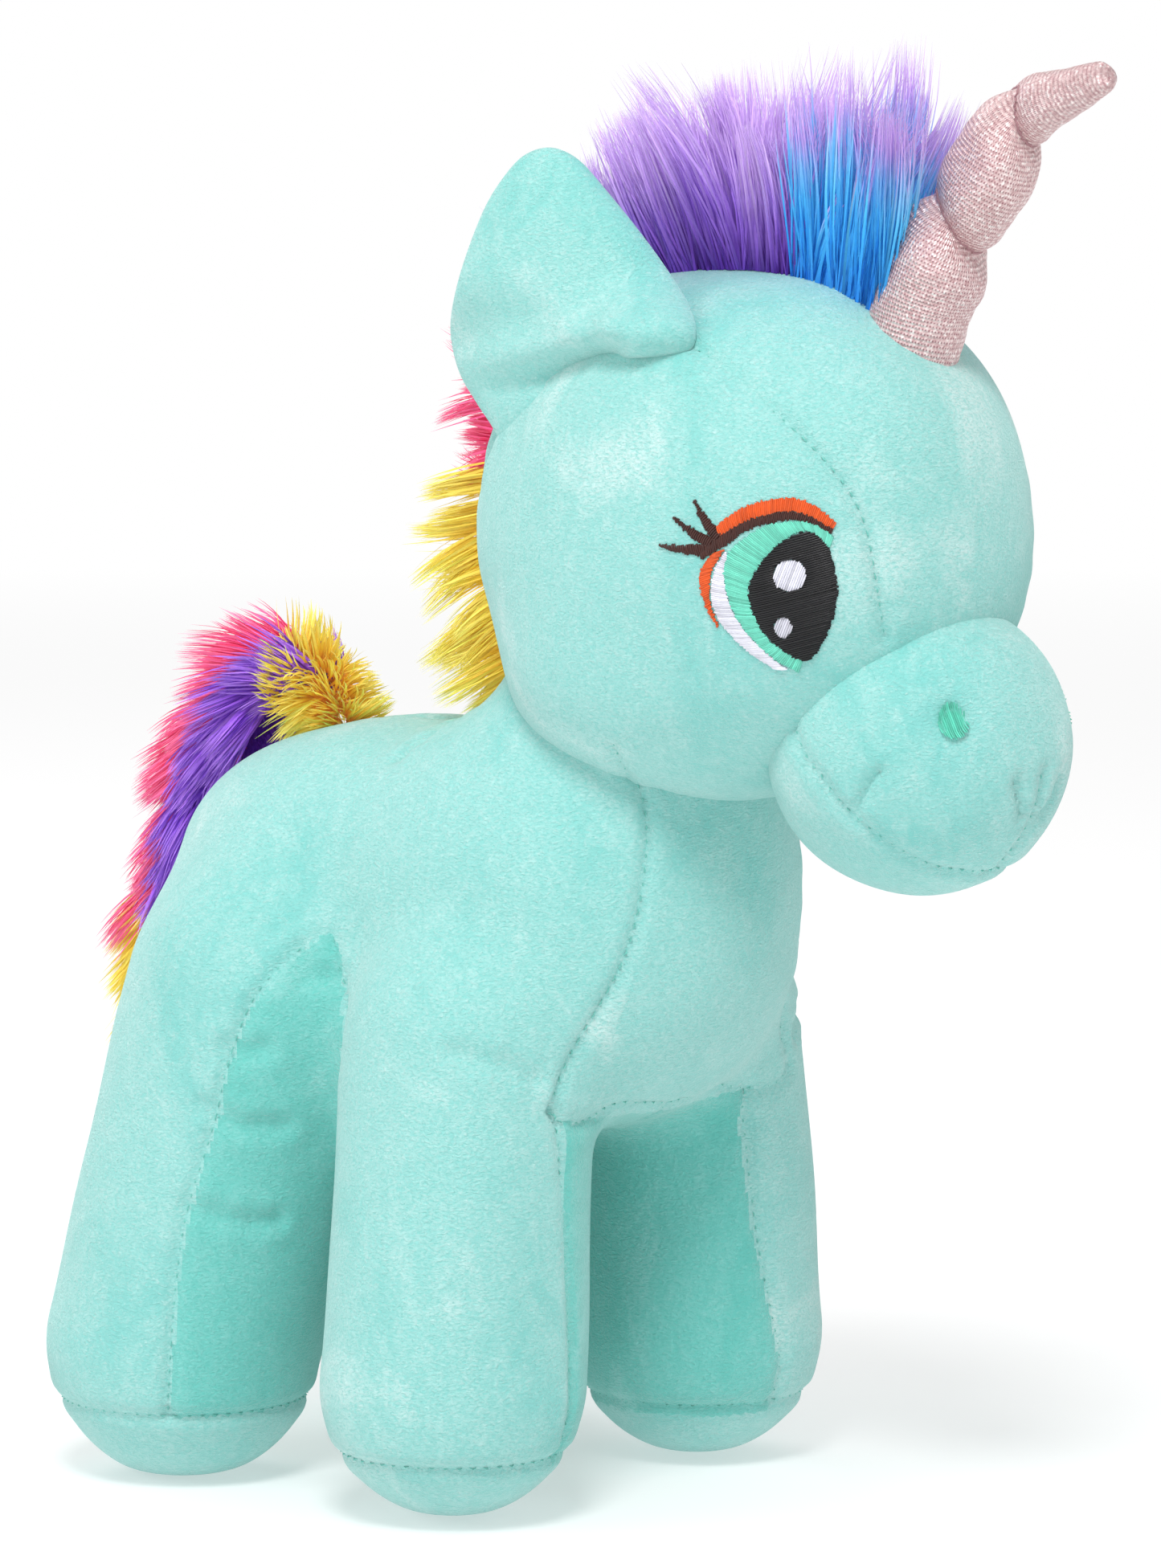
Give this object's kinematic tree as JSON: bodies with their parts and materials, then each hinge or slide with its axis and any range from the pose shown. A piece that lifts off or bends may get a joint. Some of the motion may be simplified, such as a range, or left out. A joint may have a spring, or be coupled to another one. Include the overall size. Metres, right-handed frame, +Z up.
{
  "type": "plush unicorn toy",
  "caption": "Standing stuffed toy unicorn with round muzzle, twisted soft horn, upright long-pile mane, arched tail, flopping ears and stitched eyes.",
  "frame": {"origin": "middle of the toy on the surface it stands on (centre of the bounding box bottom)", "axes": "+Z up; the toy faces -Y; +X is its left side"},
  "size_m": [0.1356, 0.2418, 0.2842],
  "materials": {
    "mint_pile": "short velour pile, soft sheen",
    "filling": "loose fibre filling",
    "horn_knit": "metallic knit with a fine dark dot grid",
    "horn_thread": "thread",
    "fur_blue": "long pile",
    "fur_purple": "long pile",
    "fur_pink": "long pile",
    "fur_yellow": "long pile",
    "stitch_black": "satin stitch",
    "stitch_white": "satin stitch",
    "stitch_teal": "satin stitch",
    "stitch_orange": "satin stitch",
    "stitch_brown": "satin stitch"
  },
  "bodies": {
    "torso": {"chest_panel": "mint_pile", "body_side_right": "mint_pile", "body_side_left": "mint_pile", "belly_gusset_right": "mint_pile", "belly_gusset_left": "mint_pile", "foot_pad_front_right": "mint_pile", "foot_pad_hind_right": "mint_pile", "foot_pad_front_left": "mint_pile", "foot_pad_hind_left": "mint_pile", "stuffing_torso": "filling", "stuffing_leg_front_right": "filling", "stuffing_leg_hind_right": "filling", "stuffing_leg_front_left": "filling", "stuffing_leg_hind_left": "filling"},
    "head": {"forehead_gusset": "mint_pile", "chin_panel": "mint_pile", "head_side_right": "mint_pile", "head_side_left": "mint_pile", "stuffing_head": "filling", "muzzle_chin": "mint_pile", "muzzle_right": "mint_pile", "muzzle_left": "mint_pile", "stuffing_muzzle": "filling", "eye_shine_large_right": "stitch_white", "eye_shine_small_right": "stitch_white", "eye_pupil_right": "stitch_black", "eye_iris_right": "stitch_teal", "eye_white_right": "stitch_white", "eye_lid_lower_right": "stitch_orange", "eye_lid_upper_right": "stitch_orange", "eye_lashes_right": "stitch_brown", "eye_shine_large_left": "stitch_white", "eye_shine_small_left": "stitch_white", "eye_pupil_left": "stitch_black", "eye_iris_left": "stitch_teal", "eye_white_left": "stitch_white", "eye_lid_lower_left": "stitch_orange", "eye_lid_upper_left": "stitch_orange", "eye_lashes_left": "stitch_brown", "nostril_right": "stitch_teal", "nostril_left": "stitch_teal", "mane_forelock_blue": "fur_blue", "mane_crown_purple": "fur_purple", "mane_nape_pink": "fur_pink", "mane_nape_yellow": "fur_yellow"},
    "ear_right": {"ear_outer_right": "mint_pile", "ear_inner_right": "mint_pile", "stuffing_ear_right": "filling"},
    "ear_left": {"ear_outer_left": "mint_pile", "ear_inner_left": "mint_pile", "stuffing_ear_left": "filling"},
    "horn": {"horn_skin": "horn_knit", "stuffing_horn": "filling", "horn_thread": "horn_thread"},
    "tail": {"tail_tuft_yellow": "fur_yellow", "tail_tip_yellow": "fur_yellow", "tail_purple": "fur_purple", "tail_pink": "fur_pink"}
  },
  "joints": [
    {"name": "head_nod", "type": "hinge", "parent": "torso", "child": "head", "pos_m": [0, -0.03886, 0.196], "axis": [1, 0, 0], "range_deg": [-6, 12], "stiffness_Nm_per_rad": 1.5},
    {"name": "ear_right_flop", "type": "hinge", "parent": "head", "child": "ear_right", "pos_m": [-0.03, -0.02186, 0.233], "axis": [0.4695, -0.8829, 0], "range_deg": [-10, 20], "stiffness_Nm_per_rad": 0.06},
    {"name": "ear_left_flop", "type": "hinge", "parent": "head", "child": "ear_left", "pos_m": [0.03, -0.02186, 0.233], "axis": [0.4695, 0.8829, 0], "range_deg": [-10, 20], "stiffness_Nm_per_rad": 0.06},
    {"name": "horn_flex", "type": "hinge", "parent": "head", "child": "horn", "pos_m": [0, -0.07486, 0.231], "axis": [1, 0, 0], "range_deg": [-5, 10], "stiffness_Nm_per_rad": 0.15},
    {"name": "tail_swing", "type": "hinge", "parent": "torso", "child": "tail", "pos_m": [0, 0.07114, 0.155], "axis": [0, 0, 1], "range_deg": [-15, 15], "stiffness_Nm_per_rad": 0.05}
  ]
}
